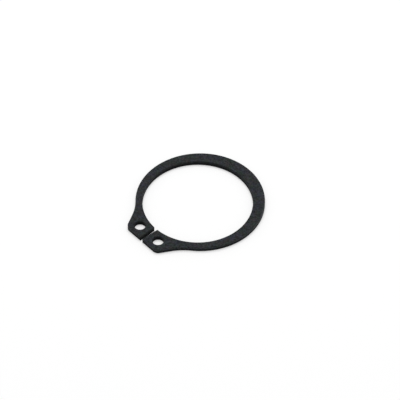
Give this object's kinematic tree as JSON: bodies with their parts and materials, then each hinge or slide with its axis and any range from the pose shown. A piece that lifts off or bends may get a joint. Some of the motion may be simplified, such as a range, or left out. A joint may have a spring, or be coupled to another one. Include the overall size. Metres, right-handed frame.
{
  "type": "external retaining ring",
  "caption": "Flat spring steel ring, widest opposite its gap, with pierced lugs for ring pliers; it springs into a groove on a shaft and stops what runs there from sliding off.",
  "frame": {"origin": "centre of the bore, on the lower face", "axes": "+Z along the axis of the bore, out of the upper face; the gap between the lugs opens towards -Y and the widest part of the ring lies at +Y; X runs across the lugs"},
  "size_m": [0.0346, 0.0382, 0.0014],
  "materials": {
    "black_phosphate": "black phosphate, lightly oiled, dull satin"
  },
  "bodies": {
    "root": {"retaining_ring": "black_phosphate"}
  },
  "joints": []
}
